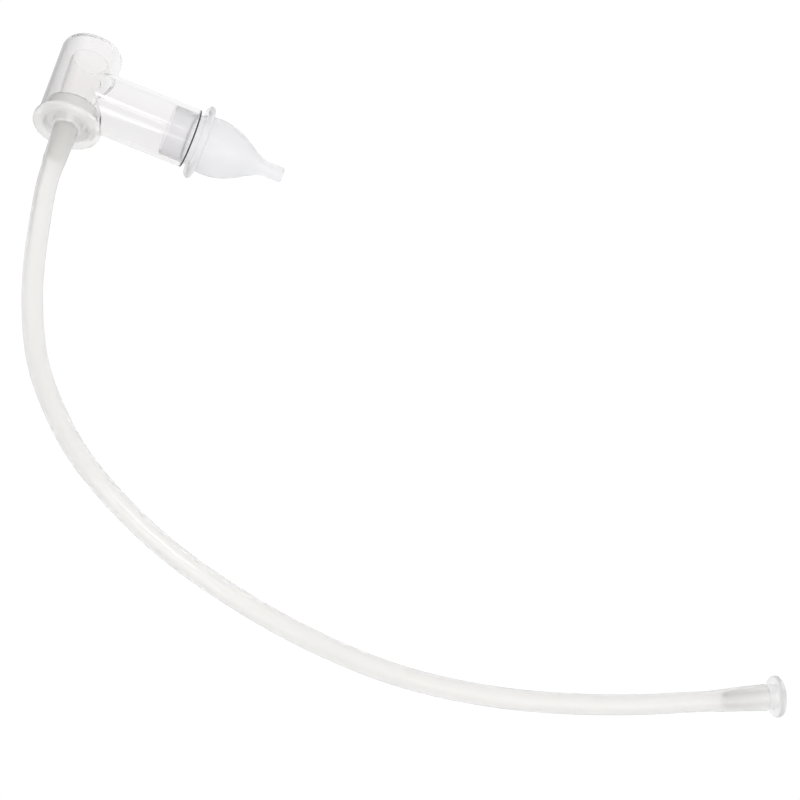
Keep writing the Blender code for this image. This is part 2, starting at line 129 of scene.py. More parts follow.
class NodeTree:
    """Adds nodes to one material or world."""

    def __init__(self, nodes: bpy.types.NodeTree) -> None:
        """Start an empty tree.

        Args:
            nodes: the tree to fill, whose nodes are removed first.
        """
        self.nodes = nodes
        self.nodes.nodes.clear()

    def add(
        self,
        kind: str,
        settings: dict[str, Any] | None = None,
        sockets: dict[int | str, Any] | None = None,
    ) -> bpy.types.Node:
        """Add one node.

        Args:
            kind: the node's type.
            settings: its settings, set first; "stops" are a ramp's (place, grey) pairs.
            sockets: a value or a Wire for each input, by name or index.

        Returns:
            The node.
        """
        node = self.nodes.nodes.new(kind)
        for name, value in (settings or {}).items():
            if name == "stops":
                self._set_stops(node.color_ramp, value)
            else:
                setattr(node, name, value)
        for key, value in (sockets or {}).items():
            if isinstance(value, Wire):
                self.nodes.links.new(value.socket, node.inputs[key])
            else:
                node.inputs[key].default_value = value
        return node

    @staticmethod
    def _set_stops(ramp: bpy.types.ColorRamp, stops: Sequence[Point]) -> None:
        """Set a ramp's stops from (place, grey) pairs."""
        while len(ramp.elements) < len(stops):
            ramp.elements.new(1.0)
        for element, (place, grey) in zip(ramp.elements, stops):
            element.position = place
            element.color = (grey, grey, grey, 1.0)

    def maths(self, operation: str, first: Wire | float, second: Wire | float) -> Wire:
        """Work out one operation on two values.

        Args:
            operation: the Math node's operation.
            first: the first value.
            second: the second value.

        Returns:
            The result.
        """
        node = self.add("ShaderNodeMath", {"operation": operation}, {0: first, 1: second})
        return Wire(self, node.outputs[0])

    def grain(self, stretch: tuple[float, float, float]) -> Wire:
        """The piece's own unbent coordinates in millimetres, scaled.

        Args:
            stretch: scale across, across and along the piece.

        Returns:
            A vector.
        """
        read = self.add("ShaderNodeAttribute", {"attribute_name": GRAIN, "attribute_type": "GEOMETRY"})
        place = Wire(self, read.outputs["Vector"])
        scaled = self.add("ShaderNodeVectorMath", {"operation": "MULTIPLY"}, {0: place, 1: stretch})
        return Wire(self, scaled.outputs[0])

    def noise(self, stretch: tuple[float, float, float], detail: float, distortion: float = 0.0) -> Wire:
        """A noise from 0 to 1 in the piece's own coordinates.

        Args:
            stretch: how many waves a millimetre across, across and along.
            detail: octaves.
            distortion: how far the noise is pulled about.

        Returns:
            The noise.
        """
        node = self.add(
            "ShaderNodeTexNoise",
            {"noise_dimensions": "3D"},
            {"Vector": self.grain(stretch), "Scale": 1.0, "Detail": detail, "Distortion": distortion},
        )
        return Wire(self, node.outputs[0])

    def ramp(self, value: Wire, stops: Sequence[Point]) -> Wire:
        """A value remapped through (place, grey) stops."""
        node = self.add("ShaderNodeValToRGB", {"stops": stops}, {0: value})
        return Wire(self, node.outputs[0])

    def between(self, factor: Wire, low: Colour, high: Colour) -> Wire:
        """A colour between two, by a factor.

        Args:
            factor: 0 gives low and 1 gives high.
            low: the first colour.
            high: the second colour.

        Returns:
            The mixed colour.
        """
        node = self.add("ShaderNodeMix", {"data_type": "RGBA"}, {0: factor, 6: (*low, 1.0), 7: (*high, 1.0)})
        return Wire(self, node.outputs[2])

    def bump(self, height: Wire, depth_mm: float, strength: float) -> Wire:
        """A normal that leans with a height.

        Args:
            height: a value from 0 to 1.
            depth_mm: what a height of 1 stands for, in millimetres.
            strength: how much of it shows.

        Returns:
            The normal.
        """
        sockets = {"Strength": strength, "Distance": depth_mm * MM, "Height": height}
        return Wire(self, self.add("ShaderNodeBump", {}, sockets).outputs[0])


# ---------------------------------------------------------------------------------------------- finishes


@dataclass(frozen=True)
class Finish:
    """A moulded see-through material: clear or cloudy, with the marks that moulding and handling leave.

    The colour drifts between thin and dense, the roughness rises where the surface has been touched, and
    shallow flow lines run along the piece.
    """

    name: str
    slot: str
    thin: Colour
    dense: Colour
    roughness: float
    touched_roughness: float
    transmission: float
    ior: float
    edge: Colour = (1.0, 1.0, 1.0)
    edge_from: float = 0.55
    flow_lines: float = 0.25
    flow_depth_mm: float = 0.05
    flow_across: float = 0.9
    flow_along: float = 0.05
    clouds: float = 0.12
    coat: float = 0.0

    def material(self) -> bpy.types.Material:
        """Make the material.

        Returns:
            The material, with its whole node tree.
        """
        made = bpy.data.materials.new(self.name)
        made.use_nodes = True
        tree = NodeTree(made.node_tree)
        flow = (self.flow_across, self.flow_across, self.flow_along)
        streaks = tree.noise(flow, STREAK_OCTAVES, STREAK_PULL)
        clouds = tree.noise((self.clouds, self.clouds, self.clouds), CLOUD_OCTAVES, CLOUD_PULL)
        touched = tree.ramp(tree.noise(TOUCH_WAVES, TOUCH_OCTAVES, TOUCH_PULL), TOUCH_STOPS)
        density = tree.ramp(clouds * CLOUD_SHARE + streaks * STREAK_SHARE, DENSITY_STOPS)
        roughness = self.roughness + (self.touched_roughness - self.roughness) * touched
        shader = tree.add(
            "ShaderNodeBsdfPrincipled",
            {},
            {
                "Base Color": self.colour(tree, density),
                "Roughness": roughness,
                "IOR": self.ior,
                "Transmission Weight": self.transmission,
                "Coat Weight": self.coat,
                "Coat Roughness": COAT_ROUGHNESS,
                "Normal": self.normal(tree, streaks),
            },
        )
        output = tree.add("ShaderNodeOutputMaterial", {}, {0: Wire(tree, shader.outputs[0])})
        output.is_active_output = True
        return made

    def colour(self, tree: NodeTree, density: Wire) -> Wire:
        """The drifting colour, deeper where the wall is seen along its length."""
        body = tree.between(density, self.thin, self.dense)
        facing = tree.add("ShaderNodeLayerWeight", {}, {"Blend": FACING_BLEND})
        along_wall = tree.ramp(Wire(tree, facing.outputs["Facing"]), ((self.edge_from, 0.0), (1.0, 1.0)))
        mixed = tree.add(
            "ShaderNodeMix",
            {"data_type": "RGBA", "blend_type": "MULTIPLY"},
            {0: along_wall, 6: body, 7: (*self.edge, 1.0)},
        )
        return Wire(tree, mixed.outputs[2])

    def normal(self, tree: NodeTree, streaks: Wire) -> Wire:
        """Shallow flow lines."""
        return tree.bump(streaks, self.flow_depth_mm, self.flow_lines)


CLEAR_CHAMBER = Finish(
    "clear_chamber_plastic", "clear_chamber", (1.0, 0.994, 0.996), (0.985, 0.977, 0.98),
    0.012, 0.05, 1.0, 1.5, (0.8, 0.79, 0.8), 0.8, flow_lines=0.3, flow_depth_mm=0.03, flow_across=0.5,
    flow_along=0.03,
)
# Painted shade: a near-black, part-clear finish on the branch's rim, standing in for the dark line that the
# rim shows.
PAINTED_RIM_SHADE = Finish(
    "painted_shade_rim", "clear_chamber", (0.03, 0.028, 0.03), (0.015, 0.014, 0.015),
    0.1, 0.2, 0.3, 1.5, flow_depth_mm=0.02,
)
CLEAR_STANDPIPE = Finish(
    "clear_standpipe_plastic", "clear_standpipe", (1.0, 0.996, 0.99), (0.99, 0.982, 0.972),
    0.06, 0.12, 1.0, 1.18, (0.93, 0.92, 0.9), 0.75, flow_lines=0.3, flow_depth_mm=0.03, flow_across=0.5,
    flow_along=0.03,
)
CAP_PLASTIC = Finish(
    "translucent_cap_plastic", "cap_plastic", (1.0, 0.998, 0.993), (0.998, 0.994, 0.986),
    0.18, 0.26, 0.68, 1.14, coat=0.3, flow_lines=0.2, flow_depth_mm=0.03,
)
NOZZLE_SILICONE = Finish(
    "cloudy_silicone", "nozzle_silicone", (0.972, 0.971, 0.978), (0.952, 0.951, 0.962),
    0.285, 0.33, 0.96, 1.16, (0.93, 0.93, 0.95), 0.65, coat=0.4, flow_lines=0.1, flow_depth_mm=0.02,
)
HOSE_RUBBER = Finish(
    "milky_tubing", "hose_rubber", (0.992, 0.988, 0.978), (0.978, 0.972, 0.96),
    0.285, 0.33, 0.93, 1.24, (0.8, 0.79, 0.77), 0.6, coat=0.5, flow_lines=0.2, flow_depth_mm=0.015,
    flow_across=1.1, flow_along=0.012, clouds=0.08,
)
CLEAR_MOUTHPIECE = Finish(
    "clear_mouthpiece_plastic", "clear_mouthpiece", (0.99, 0.99, 0.988), (0.968, 0.97, 0.968),
    0.285, 0.33, 0.97, 1.32, (0.72, 0.72, 0.72), 0.7, coat=0.8, flow_lines=0.3, flow_depth_mm=0.03,
    flow_across=0.8,
)


# ---------------------------------------------------------------------------------------------- shapes


def arc(middle: Point, radius: float, start: float, end: float, steps: int = 5) -> list[Point]:
    """Points on part of a round.

    Args:
        middle: the round's middle, as (radius from the axis, place along it).
        radius: the round's radius.
        start: first angle, in degrees from outwards towards along.
        end: last angle.
        steps: how many straight pieces.

    Returns:
        The points.
    """
    angles = np.radians(np.linspace(start, end, steps + 1))
    return [(middle[0] + radius * math.cos(a), middle[1] + radius * math.sin(a)) for a in angles]


def soften(corners: Iterable[Sequence[float]], closed: bool = True, steps: int = 5) -> list[Point]:
    """Round an outline's corners.

    Args:
        corners: (radius from the axis, place along it) or the same with a rounding radius third.
        closed: whether the outline joins up.
        steps: straight pieces in each round.

    Returns:
        The outline, with an arc for each rounded corner.
    """
    corners = list(corners)
    count = len(corners)
    outline: list[Point] = []
    for i, corner in enumerate(corners):
        here = np.array(corner[:2], float)
        size = corner[2] if len(corner) > 2 else 0.0
        if not size or (not closed and i in (0, count - 1)):
            outline.append(tuple(here))
            continue
        back = np.array(corners[i - 1][:2], float) - here
        ahead = np.array(corners[(i + 1) % count][:2], float) - here
        reach_back, reach_ahead = np.linalg.norm(back), np.linalg.norm(ahead)
        back, ahead = back / reach_back, ahead / reach_ahead
        half = math.acos(max(-1.0, min(1.0, float(back @ ahead)))) / 2
        if abs(half - math.pi / 2) < NEARLY_STRAIGHT:
            outline.append(tuple(here))
            continue
        run = min(size / math.tan(half), reach_back * LARGEST_RUN, reach_ahead * LARGEST_RUN)
        size = run * math.tan(half)
        bisector = (back + ahead) / np.linalg.norm(back + ahead)
        middle = here + bisector * (size / math.sin(half))
        first = here + back * run - middle
        last = here + ahead * run - middle
        start = math.atan2(first[1], first[0])
        turn = (math.atan2(last[1], last[0]) - start + math.pi) % math.tau - math.pi
        outline += arc(tuple(middle), size, math.degrees(start), math.degrees(start + turn), steps)
    return outline


def bezier(start: Point, leave: Point, arrive: Point, end: Point, steps: int) -> list[Point]:
    """Points on a cubic curve.

    Args:
        start: the first point.
        leave: the handle that it leaves towards.
        arrive: the handle that it arrives from.
        end: the last point.
        steps: how many straight pieces.

    Returns:
        The points.
    """
    ends = [np.array(point, float) for point in (start, leave, arrive, end)]
    points = []
    for t in np.linspace(0.0, 1.0, steps + 1):
        weights = ((1 - t) ** 3, 3 * t * (1 - t) ** 2, 3 * t * t * (1 - t), t ** 3)
        points.append(tuple(sum(w * p for w, p in zip(weights, ends))))
    return points


def smooth_line(points: Sequence[Sequence[float]], spacing: float) -> np.ndarray:
    """Even points along a natural cubic curve.

    Args:
        points: the points that the curve goes through.
        spacing: about how far apart the new ones are.

    Returns:
        The new points, one a row.
    """
    points = np.array(points, float)
    chords = np.linalg.norm(np.diff(points, axis=0), axis=1)
    knots = np.concatenate([[0.0], np.cumsum(chords)])
    count = len(points)
    system = np.eye(count)
    right = np.zeros_like(points)
    for i in range(1, count - 1):
        system[i, i - 1:i + 2] = (chords[i - 1], 2 * (chords[i - 1] + chords[i]), chords[i])
        ahead = (points[i + 1] - points[i]) / chords[i]
        right[i] = 6 * (ahead - (points[i] - points[i - 1]) / chords[i - 1])
    bends = np.linalg.solve(system, right)
    smooth = []
    for place in np.linspace(0.0, knots[-1], round(knots[-1] / spacing) + 1):
        i = min(int(np.searchsorted(knots, place, side="right")) - 1, count - 2)
        b = (place - knots[i]) / chords[i]
        a = 1 - b
        curved = ((a ** 3 - a) * bends[i] + (b ** 3 - b) * bends[i + 1]) * chords[i] ** 2 / 6
        smooth.append(a * points[i] + b * points[i + 1] + curved)
    return np.array(smooth)


def finish_mesh(name: str, shape: bmesh.types.BMesh) -> bpy.types.Object:
    """Turn a bmesh into an object whose rounds are smooth and whose corners are sharp."""
    mesh = bpy.data.meshes.new(name)
    bmesh.ops.recalc_face_normals(shape, faces=shape.faces)
    shape.to_mesh(mesh)
    shape.free()
    mesh.shade_smooth()
    mesh.set_sharp_from_angle(angle=math.radians(SHARP_ANGLE))
    return bpy.data.objects.new(name, mesh)


def turned(name: str, outline: Sequence[Point], sides: int = 128, closed: bool = True) -> bpy.types.Object:
    """A piece turned round its own Z.

    Args:
        name: the object's name.
        outline: (radius, along) points in millimetres.
        sides: flats round the piece.
        closed: whether the outline joins up; if not, both its ends are on the axis.

    Returns:
        The object, not yet placed.
    """
    shape = bmesh.new()
    rings = []
    for radius, along in outline:
        if radius < ON_AXIS:
            rings.append([shape.verts.new((0.0, 0.0, along * MM))] * sides)
            continue
        ring = []
        for i in range(sides):
            angle = math.tau * i / sides
            x, y = radius * math.cos(angle) * MM, radius * math.sin(angle) * MM
            ring.append(shape.verts.new((x, y, along * MM)))
        rings.append(ring)
    pairs = list(zip(rings, rings[1:]))
    if closed:
        pairs.append((rings[-1], rings[0]))
    for first, second in pairs:
        for i in range(sides):
            j = (i + 1) % sides
            corners = list(dict.fromkeys((first[i], first[j], second[j], second[i])))
            if len(corners) > 2:
                shape.faces.new(corners)
    return finish_mesh(name, shape)


def put(made: bpy.types.Object, place: Vector, turn: Sequence[float]) -> bpy.types.Object:
    """Link an object and place it.

    Args:
        made: the object.
        place: its origin, in metres.
        turn: turns about X, Y and Z, in degrees.

    Returns:
        The object.
    """
    bpy.context.scene.collection.objects.link(made)
    made.location = place
    made.rotation_euler = [math.radians(angle) for angle in turn]
    return made


def lay_grain(made: bpy.types.Object, places: np.ndarray | None = None) -> None:
    """Store the piece's own unbent coordinates, in millimetres, for its finish to follow.

    Args:
        made: the object.
        places: one row a vertex, or None for the mesh's own coordinates.
    """
    mesh = made.data
    if places is None:
        flat = np.empty(len(mesh.vertices) * 3)
        mesh.vertices.foreach_get("co", flat)
        places = flat.reshape(-1, 3) / MM
    attribute = mesh.attributes.new(GRAIN, "FLOAT_VECTOR", "POINT")
    attribute.data.foreach_set("vector", places.astype(np.float32).ravel())


def dress(made: bpy.types.Object, finish: Finish, body: str, node: str) -> bpy.types.Object:
    """Give a piece its finish, and say which body it moves with and which solid it stands for.

    Args:
        made: the piece, in place.
        finish: its finish.
        body: the body that it rides on.
        node: the solid that it replaces.

    Returns:
        The piece.
    """
    made.data.materials.clear()
    made.data.materials.append(finish.material())
    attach(made, body)
    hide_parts(node)
    LOG.info("%s: %d faces, finish %s", made.name, len(made.data.polygons), finish.name)
    return made


# ---------------------------------------------------------------------------------------------- the object


@dataclass(frozen=True)
class Layout:
    """Where the chamber's two axes cross, read from the frame."""

    cross: Vector

    @classmethod
    def from_frame(cls) -> "Layout":
        """Read the crossing from the standpipe, which stands on one axis, and the nozzle, on the other."""
        pipe_low, pipe_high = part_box("inner_tube")
        nozzle_low, nozzle_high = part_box("nozzle")
        main = (pipe_low + pipe_high) / 2
        branch = (nozzle_low + nozzle_high) / 2
        return cls(Vector((main.x, branch.y, branch.z)))

    def at(self, x: float = 0.0, y: float = 0.0, z: float = 0.0) -> Vector:
        """A place measured from the crossing, in millimetres."""
        return self.cross + Vector((x, y, z)) * MM


@dataclass
class Chamber:
    """The clear T: a main tube with a rounded closed end, and a branch."""

    radius: float = 10.0
    wall: float = 1.1
    open_rim: float = -12.3
    closed_end: float = 17.9
    end_wall: float = 1.3
    end_round: float = 1.8
    branch_radius: float = 9.8
    branch_wall: float = 1.1
    branch_rim: float = 38.6
    edge: float = 0.25
    rim_depth: float = 0.45
    overcut: float = 1.0
    sides: int = 192

    def bore(self) -> float:
        """The main tube's inner radius."""
        return self.radius - self.wall

    def branch_bore(self) -> float:
        """The branch's inner radius."""
        return self.branch_radius - self.branch_wall

    def build(self, layout: Layout) -> bpy.types.Object:
        """Join both tubes outside, then bore both.

        Args:
            layout: where the axes cross.

        Returns:
            The chamber, dressed.
        """
        main = turned("chamber_shell", self._main_outline(), self.sides, closed=False)
        put(main, layout.at(), Lie.MAIN.value)
        branch = self._bar(self.branch_radius, self.branch_rim, True)
        branch_bore = self._bar(self.branch_bore(), self.branch_rim, False)
        steps = (
            ("UNION", turned("branch_outside", branch, self.sides, False)),
            ("DIFFERENCE", turned("main_bore", self._bore_outline(), self.sides, False)),
            ("DIFFERENCE", turned("branch_bore", branch_bore, self.sides, False)),
        )
        for operation, tool in steps:
            lie = Lie.MAIN if tool.name == "main_bore" else Lie.BRANCH
            put(tool, layout.at(), lie.value)
            step = main.modifiers.new(tool.name, "BOOLEAN")
            step.operation = operation
            step.solver = "EXACT"
            step.object = tool
        bpy.context.view_layer.update()
        seen = main.evaluated_get(bpy.context.evaluated_depsgraph_get())
        mesh = bpy.data.meshes.new_from_object(seen)
        main.modifiers.clear()
        main.data = mesh
        for _, tool in steps:
            bpy.data.objects.remove(tool, do_unlink=True)
        self._true_normals(main)
        lay_grain(main)
        dress(main, CLEAR_CHAMBER, "chamber", "chamber_body")
        self._paint_rim_shade(main)
        return main

    def _paint_rim_shade(self, made: bpy.types.Object) -> None:
        """Give the branch's rim a near-black, part-clear finish: painted shade for the dark line along the
        rim.
        """
        # Painted shade: every face within rim_depth of the branch's rim gets the near-black finish.
        made.data.materials.append(PAINTED_RIM_SHADE.material())
        turn = made.matrix_world.to_3x3()
        for polygon in made.data.polygons:
            along = (turn @ polygon.center).x / MM
            if along > self.branch_rim - self.rim_depth:
                polygon.material_index = 1

    def _main_outline(self) -> list[Point]:
        """The main tube's outside, from its closed end's middle to its rim's."""
        corners = (
            (0.0, self.closed_end),
            (self.radius, self.closed_end, self.end_round),
            (self.radius, self.open_rim, self.edge),
            (0.0, self.open_rim),
        )
        return soften(corners, closed=False, steps=8)

    def _bore_outline(self) -> list[Point]:
        """The main tube's inside, opening out over the rim's inner edge."""
        end = self.closed_end - self.end_wall
        corners = (
            (0.0, end),
            (self.bore(), end, self.end_round - self.wall),
            (self.bore(), self.open_rim + self.edge, self.edge),
            (self.bore() + self.edge, self.open_rim - 0.001),
            (self.bore() + self.edge, self.open_rim - self.overcut),
            (0.0, self.open_rim - self.overcut),
        )
        return soften(corners, closed=False, steps=6)

    def _bar(self, radius: float, rim: float, outside: bool) -> list[Point]:
        """The branch's outside with a rounded rim, or its bore, which opens out over the rim."""
        if outside:
            corners = (
                (0.0, rim),
                (radius, rim, self.edge),
                (radius, rim - self.rim_depth),
                (radius, 0.0),
                (0.0, 0.0),
            )
            return soften(corners, closed=False)
        corners = (
            (0.0, rim + self.overcut),
            (radius + self.edge, rim + self.overcut),
            (radius + self.edge, rim + 0.001),
            (radius, rim - self.edge, self.edge),
            (radius, rim - self.rim_depth),
            (radius, 0.0),
            (0.0, 0.0),
        )
        return soften(corners, closed=False)

    def _true_normals(self, made: bpy.types.Object) -> None:
        """Shade the four round walls as true cylinders, and the rest by its own faces."""
        mesh = made.data
        mesh.shade_smooth()
        mesh.set_sharp_from_angle(angle=math.radians(JOINED_SHARP_ANGLE))
        turn = made.rotation_euler.to_matrix()
        branch_way = turn.transposed() @ Vector((1.0, 0.0, 0.0))
        walls = (
            (Vector((0.0, 0.0, 1.0)), self.radius, 1.0),
            (Vector((0.0, 0.0, 1.0)), self.bore(), -1.0),
            (branch_way, self.branch_radius, 1.0),
            (branch_way, self.branch_bore(), -1.0),
        )
        normals = [Vector(corner.vector) for corner in mesh.corner_normals]
        for polygon in mesh.polygons:
            places = [mesh.vertices[i].co for i in polygon.vertices]
            for way, radius, side in walls:
                out = [(place - way * place.dot(way)) / MM for place in places]
                facing = polygon.normal.dot(out[0].normalized()) * side
                if facing > WALL_FACING and all(abs(each.length - radius) < WALL_SLACK for each in out):
                    for loop, each in zip(polygon.loop_indices, out):
                        normals[loop] = each.normalized() * side
                    break
        mesh.normals_split_custom_set(normals)


@dataclass
class Nozzle:
    """The soft nozzle, measured from its flange's middle: sleeve, flange, bullet body and open tip."""

    middle: float = 41.5
    flange_radius: float = 12.3
    flange_half: float = 1.2
    sleeve_radius: float = 8.4
    sleeve_end: float = -11.1
    wall: float = 1.3
    body_radius: float = 9.5
    shoulder: float = 3.5
    body_end: float = 24.5
    tip_end: float = 29.1
    tip_radius: float = 2.5
    tip_bore: float = 1.3
    mouth_bore: float = 1.8
    mouth_depth: float = 4.4
    tip_handle: float = 0.714
    body_handle: float = 0.612
    bullet_steps: int = 40
    sides: int = 240

    def build(self, layout: Layout) -> bpy.types.Object:
        """Turn and dress the nozzle.

        Args:
            layout: where the axes cross.

        Returns:
            The nozzle.
        """
        outline = soften(((self.mouth_bore, self.tip_end, 0.15), (self.tip_radius, self.tip_end, 0.35),
                          (self.tip_radius, self.body_end)), closed=False)
        outline += self._bullet(self.tip_radius, self.body_radius)[1:]
        outline += soften(
            (
                (self.body_radius, self.shoulder),
                (self.body_radius - 0.1, self.flange_half + 0.5),
                (self.body_radius - 0.35, self.flange_half - 0.1, 0.25),
                (self.flange_radius - self.flange_half, self.flange_half),
            ),
            closed=False,
        )[1:]
        outline += arc((self.flange_radius - self.flange_half, 0.0), self.flange_half, 90, -90, 14)
        bore = self.sleeve_radius - self.wall
        outline += soften(
            (
                (self.flange_radius - self.flange_half, -self.flange_half),
                (self.sleeve_radius, -self.flange_half, 0.3),
                (self.sleeve_radius - 0.1, self.sleeve_end, 0.4),
                (bore + 0.2, self.sleeve_end, 0.3),
                (bore, self.shoulder * 0.5, 0.6),
                (self.body_radius - self.wall, self.shoulder),
            ),
            closed=False,
        )[1:]
        outline += self._bullet(self.tip_bore, self.body_radius - self.wall)[::-1][1:]
        step = self.tip_end - self.mouth_depth
        outline += soften(
            (
                (self.tip_bore, self.body_end),
                (self.tip_bore, step - 0.15),
                (self.mouth_bore, step + 0.25, 0.1),
                (self.mouth_bore, self.tip_end),
            ),
            closed=False,
        )[1:-1]
        made = put(turned("nozzle_soft", outline, self.sides), layout.at(self.middle), Lie.BRANCH.value)
        lay_grain(made)
        return dress(made, NOZZLE_SILICONE, "nozzle", "nozzle")

    def _bullet(self, tip: float, full: float) -> list[Point]:
        """The body's side, from the tip's radius to its full one."""
        leave, arrive = self.body_end * self.tip_handle, self.body_end * self.body_handle
        end = (full, self.shoulder)
        return bezier((tip, self.body_end), (tip, leave), (full, arrive), end, self.bullet_steps)


@dataclass
class Spigot:
    """A tapered spigot with a rounded tip."""

    root_radius: float
    length: float
    bore: float
    tip_radius: float = 2.6
    nose: float = 0.5

    def outline(self, root: float) -> list[Sequence[float]]:
        """Corners from the root down to the tip and in to the bore.

        Args:
            root: where its root is along the piece.

        Returns:
            The corners, with their rounding.
        """
        tip = root - self.length
        return [
            (self.root_radius, root, 0.15),
            (self.tip_radius, tip + 2 * self.nose, 0.3),
            (self.tip_radius - self.nose, tip, 0.25),
            (self.bore, tip, 0.2),
        ]

    def radius_at(self, from_root: float) -> float:
        """Its radius at a distance from its root."""
        share = min(max(from_root / (self.length - 2 * self.nose), 0.0), 1.0)
        return self.root_radius + (self.tip_radius - self.root_radius) * share


@dataclass
class Stopper:
    """The stopper that closes the main tube, and the standpipe that stands in it."""

    spigot: Spigot = field(default_factory=lambda: Spigot(2.9, 12.5, 1.5))
    face: float = -14.5
    flange_radius: float = 11.0
    flange_thickness: float = 1.9
    plug_radius: float = 8.6
    plug_top: float = -7.3
    socket_radius: float = 6.55
    seat: float = -10.5
    recess_radius: float = 7.4
    recess_depth: float = 2.4
    boss_radius: float = 4.6
    pipe_radius: float = 6.25
    pipe_wall: float = 0.9
    pipe_foot: float = -10.2
    pipe_top: float = 12.9
    sides: int = 144

    def build(self, layout: Layout) -> list[bpy.types.Object]:
        """Turn and dress both pieces.

        Args:
            layout: where the axes cross.

        Returns:
            The stopper and the standpipe.
        """
        back = self.face + self.flange_thickness
        recess = self.face + self.recess_depth
        corners = [
            (self.socket_radius, self.plug_top, 0.3),
            (self.plug_radius - 0.25, self.plug_top, 0.5),
            (self.plug_radius, self.plug_top - 1.2, 0.4),
            (self.plug_radius, back, 0.2),
            (self.flange_radius, back, 0.6),
            (self.flange_radius, self.face, 0.6),
            (self.recess_radius, self.face, 0.35),
            (self.recess_radius - 0.25, recess, 0.5),
            (self.boss_radius + 0.25, recess, 0.5),
            (self.boss_radius, self.face, 0.35),
        ]
        corners += self.spigot.outline(self.face)
        corners += [
            (self.spigot.bore, self.seat, 0.2),
            (self.socket_radius, self.seat, 0.2),
        ]
        cap = put(turned("stopper_moulded", soften(corners), self.sides), layout.at(), Lie.MAIN.value)
        lay_grain(cap)
        bore = self.pipe_radius - self.pipe_wall
        wall = (
            (bore, self.pipe_top, 0.3),
            (self.pipe_radius, self.pipe_top, 0.3),
            (self.pipe_radius, self.pipe_foot, 0.15),
            (bore, self.pipe_foot, 0.15),
        )
        pipe = put(turned("standpipe_clear", soften(wall), self.sides), layout.at(), Lie.MAIN.value)
        lay_grain(pipe)
        return [
            dress(cap, CAP_PLASTIC, "stopper", "end_cap"),
            dress(pipe, CLEAR_STANDPIPE, "stopper", "inner_tube"),
        ]


@dataclass
class Mouthpiece:
    """The clear disc, its neck and its spigot, lying at the hose's far end."""

    spigot: Spigot = field(default_factory=lambda: Spigot(3.3, 14.8, 1.7))
    disc_radius: float = 6.7
    disc_thickness: float = 1.7
    neck_radius: float = 4.0
    neck_length: float = 2.6
    place: Point = (271.6, -117.0)
    heading: float = 20.0
    rise: float = 9.5
    sides: int = 96

    def axis(self) -> np.ndarray:
        """The way its disc faces."""
        heading, rise = math.radians(self.heading), math.radians(self.rise)
        level = math.cos(rise)
        return np.array([level * math.cos(heading), level * math.sin(heading), math.sin(rise)])

    def centre(self) -> np.ndarray:
        """The disc's inner face, in millimetres from the crossing, height from the surface."""
        return np.array([*self.place, self.disc_radius * math.cos(math.radians(self.rise))])

    def build(self, layout: Layout) -> bpy.types.Object:
        """Turn and dress the mouthpiece.

        Args:
            layout: where the axes cross.

        Returns:
            The mouthpiece.
        """
        corners = [
            (self.spigot.bore + 0.5, self.disc_thickness, 0.3),
            (self.disc_radius, self.disc_thickness, 0.55),
            (self.disc_radius, 0.0, 0.55),
            (self.neck_radius, 0.0, 0.6),
            (self.neck_radius, -self.neck_length, 0.2),
        ]
        corners += self.spigot.outline(-self.neck_length)
        corners.append((self.spigot.bore, self.disc_thickness - 0.6, 0.3))
        made = turned("mouthpiece_clear", soften(corners), self.sides)
        x, y, z = self.centre()
        place = Vector((layout.cross.x + x * MM, layout.cross.y + y * MM, z * MM))
        put(made, place, (0.0, 90.0 - self.rise, self.heading))
        lay_grain(made)
        return dress(made, CLEAR_MOUTHPIECE, "mouthpiece", "mouthpiece")


